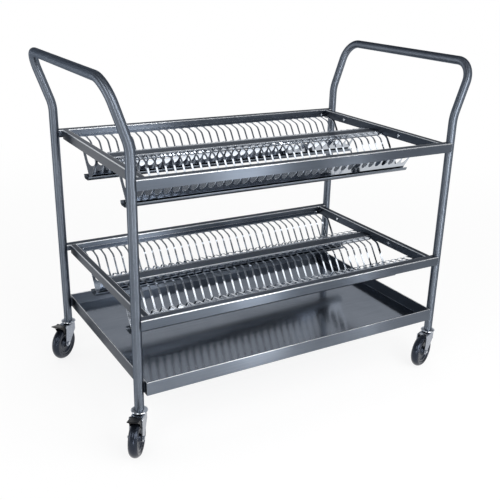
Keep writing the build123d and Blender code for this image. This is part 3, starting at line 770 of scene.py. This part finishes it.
def wheel_centre(corner):
    """Moulded wheel centre: hub boss, dished web and rim."""
    bm = about_axle(WHEEL_CENTRE)
    bm.transform(caster_place(corner))
    finish_piece(
        bm, f"wheel_{corner}_centre", f"wheel_{corner}", WHEEL_PLASTIC,
        [f"wheel_rim_{corner}"])


def bearing_cups():
    """Domed cups between the legs and the forks."""
    low, high = span("bearing_cups")
    outline = [(radius, 0, high.z - depth) for radius, depth in CUP_DOME]
    outline += [(radius, 0, low.z + height) for radius, height in CUP_FOOT]
    bm = bmesh.new()
    for corner in CORNERS:
        cup = lathe(outline, (0, 0, 0), (0, 0, 1), CUP_STEPS)
        cup.transform(caster_place(corner))
        part = bpy.data.meshes.new("cup")
        cup.to_mesh(part)
        cup.free()
        bm.from_mesh(part)
        bpy.data.meshes.remove(part)
    finish_piece(bm, "bearing_cup_domes", "frame", CUP_STEEL, ["bearing_cups"])


def dress(node, material, edge=None):
    """Gives a CAD node its finish, and eased edges where they show."""
    piece = frame["nodes"][node]
    piece.data.materials.clear()
    piece.data.materials.append(material)
    if edge:
        joined = piece.modifiers.new("joined", "WELD")
        joined.merge_threshold = NEAR * MM
        ease(piece, edge)


def build_trolley():
    """All pieces: sheets, tubes, cups and wheels drawn anew, and the other solids dressed."""
    for side in ("left", "right"):
        end_frame(side)
    for tier in TIERS:
        for side in ("front", "rear"):
            long_rail(tier, side)
            rack(tier, side)
            gutter(tier, side)
        for side in ("left", "right"):
            end_rail(tier, side)
        centre_rail(tier)
    drip_tray()
    bearing_cups()
    for corner in CORNERS:
        tyre(corner)
        wheel_centre(corner)
        dress(f"fork_{corner}", FORK_STEEL, FORK_EDGE)
        dress(f"axle_bolt_{corner}", BOLT_STEEL, BOLT_EDGE)
        dress(f"axle_nut_{corner}", BOLT_STEEL, BOLT_EDGE)
        dress(f"axle_bush_{corner}", STEM_STEEL)
    for corner in BRAKED:
        dress(f"brake_pin_{corner}", BOLT_STEEL, PIN_EDGE)
        dress(f"brake_pedal_{corner}", PEDAL_PLASTIC, PEDAL_EDGE)
    for node in ("rack_screws", "rack_nuts", "rail_rivets"):
        dress(node, BOLT_STEEL, SCREW_EDGE)
    dress("tray_lugs", RAIL_STEEL, LUG_EDGE)
    dress("caster_stems", STEM_STEEL)


def seen(tree):
    """One for rays from the camera, straight or by way of metal and glass."""
    path = add(tree, "ShaderNodeLightPath").outputs
    straight = add(
        tree, "ShaderNodeMath", {0: path["Is Camera Ray"], 1: path["Is Glossy Ray"]}, operation="MAXIMUM")
    return add(
        tree, "ShaderNodeMath", {0: straight.outputs[0], 1: path["Is Transmission Ray"]}, operation="MAXIMUM",
    ).outputs[0]


def studio_sky():
    """Even light from all round. To the eye it runs from white at the horizon to a grey ceiling."""
    world = bpy.data.worlds.new("studio")
    bpy.context.scene.world = world
    world.use_nodes = True
    tree = world.node_tree
    tree.nodes.clear()
    way = add(tree, "ShaderNodeTexCoord").outputs["Generated"]
    height = add(tree, "ShaderNodeSeparateXYZ", {"Vector": way}).outputs["Z"]
    ceiling = add(tree, "ShaderNodeValToRGB", {"Fac": height})
    shades = ceiling.color_ramp.elements
    for place, _ in SKY[1:-1]:
        shades.new(place)
    for element, (place, shade) in zip(shades, SKY):
        element.position = place
        element.color = tone(shade)
    light = add(tree, "ShaderNodeBackground", {"Color": tone(WHITE), "Strength": SKY_LIGHT})
    sight = add(tree, "ShaderNodeBackground", {"Color": ceiling.outputs["Color"], "Strength": 1.0})
    both = add(tree, "ShaderNodeMixShader", {0: seen(tree), 1: light.outputs[0], 2: sight.outputs[0]})
    add(tree, "ShaderNodeOutputWorld", {"Surface": both.outputs[0]})


def floor_paint():
    """Matt white paint that keeps a soft shadow near the trolley, and is plain white far away."""
    material, tree = blank_material("studio_floor")
    paint = add(tree, "ShaderNodeBsdfDiffuse", {"Color": tone(FLOOR_PAINT)})
    glow = add(tree, "ShaderNodeEmission", {"Color": tone(WHITE), "Strength": 1.0})
    place = add(tree, "ShaderNodeTexCoord").outputs["Object"]
    reach = add(tree, "ShaderNodeVectorMath", {0: place}, operation="LENGTH").outputs["Value"]
    far = add(
        tree, "ShaderNodeMapRange",
        {"Value": reach, "From Min": FLOOR_REACH[0], "From Max": FLOOR_REACH[1],
         "To Min": FLOOR_GLOW[0], "To Max": FLOOR_GLOW[1]}, interpolation_type="SMOOTHSTEP")
    share = add(tree, "ShaderNodeMath", {0: seen(tree), 1: far.outputs["Result"]}, operation="MULTIPLY")
    both = add(tree, "ShaderNodeMixShader", {0: share.outputs[0], 1: paint.outputs[0], 2: glow.outputs[0]})
    add(tree, "ShaderNodeOutputMaterial", {"Surface": both.outputs[0]})
    return material


def studio_floor():
    """Plain pale floor."""
    bm = bmesh.new()
    bmesh.ops.create_grid(bm, x_segments=1, y_segments=1, size=FLOOR_SIZE)
    mesh = bpy.data.meshes.new("studio_floor")
    bm.to_mesh(mesh)
    bm.free()
    mesh.materials.append(floor_paint())
    floor = bpy.data.objects.new("studio_floor", mesh)
    bpy.context.scene.collection.objects.link(floor)


def studio_lamps():
    """Soft lamps round the trolley."""
    for name, place, aim, size, watts in LAMPS:
        data = bpy.data.lights.new(name, "AREA")
        data.shape = "RECTANGLE"
        data.size, data.size_y = size
        data.energy = watts
        lamp = bpy.data.objects.new(name, data)
        lamp.location = place
        lamp.rotation_euler = (Vector(aim) - Vector(place)).to_track_quat("-Z", "Y").to_euler()
        bpy.context.scene.collection.objects.link(lamp)


def studio_camera():
    """The camera at the photograph's place."""
    azimuth, elevation, roll = (
        math.radians(angle) for angle in (CAMERA_AZIMUTH, CAMERA_ELEVATION, CAMERA_ROLL))
    ahead = Vector((
        math.sin(azimuth) * math.cos(elevation),
        math.cos(azimuth) * math.cos(elevation),
        -math.sin(elevation)))
    level = ahead.cross((0, 0, 1)).normalized()
    upright = level.cross(ahead)
    right = level * math.cos(roll) + upright * math.sin(roll)
    up = upright * math.cos(roll) - level * math.sin(roll)
    data = bpy.data.cameras.new("camera")
    data.lens = CAMERA_LENS
    data.sensor_width = CAMERA_SENSOR
    data.shift_x, data.shift_y = CAMERA_SHIFT
    data.clip_end = CAMERA_REACH
    camera = bpy.data.objects.new("camera", data)
    camera.matrix_world = (
        Matrix.Translation(Vector(CAMERA_PLACE) * MM) @ Matrix((right, up, -ahead)).transposed().to_4x4())
    bpy.context.scene.collection.objects.link(camera)
    bpy.context.scene.camera = camera


def build_studio():
    """Sky, floor, lamps and camera."""
    bpy.context.scene.view_settings.view_transform = "Standard"
    studio_sky()
    studio_floor()
    studio_lamps()
    studio_camera()


build_trolley()
build_studio()
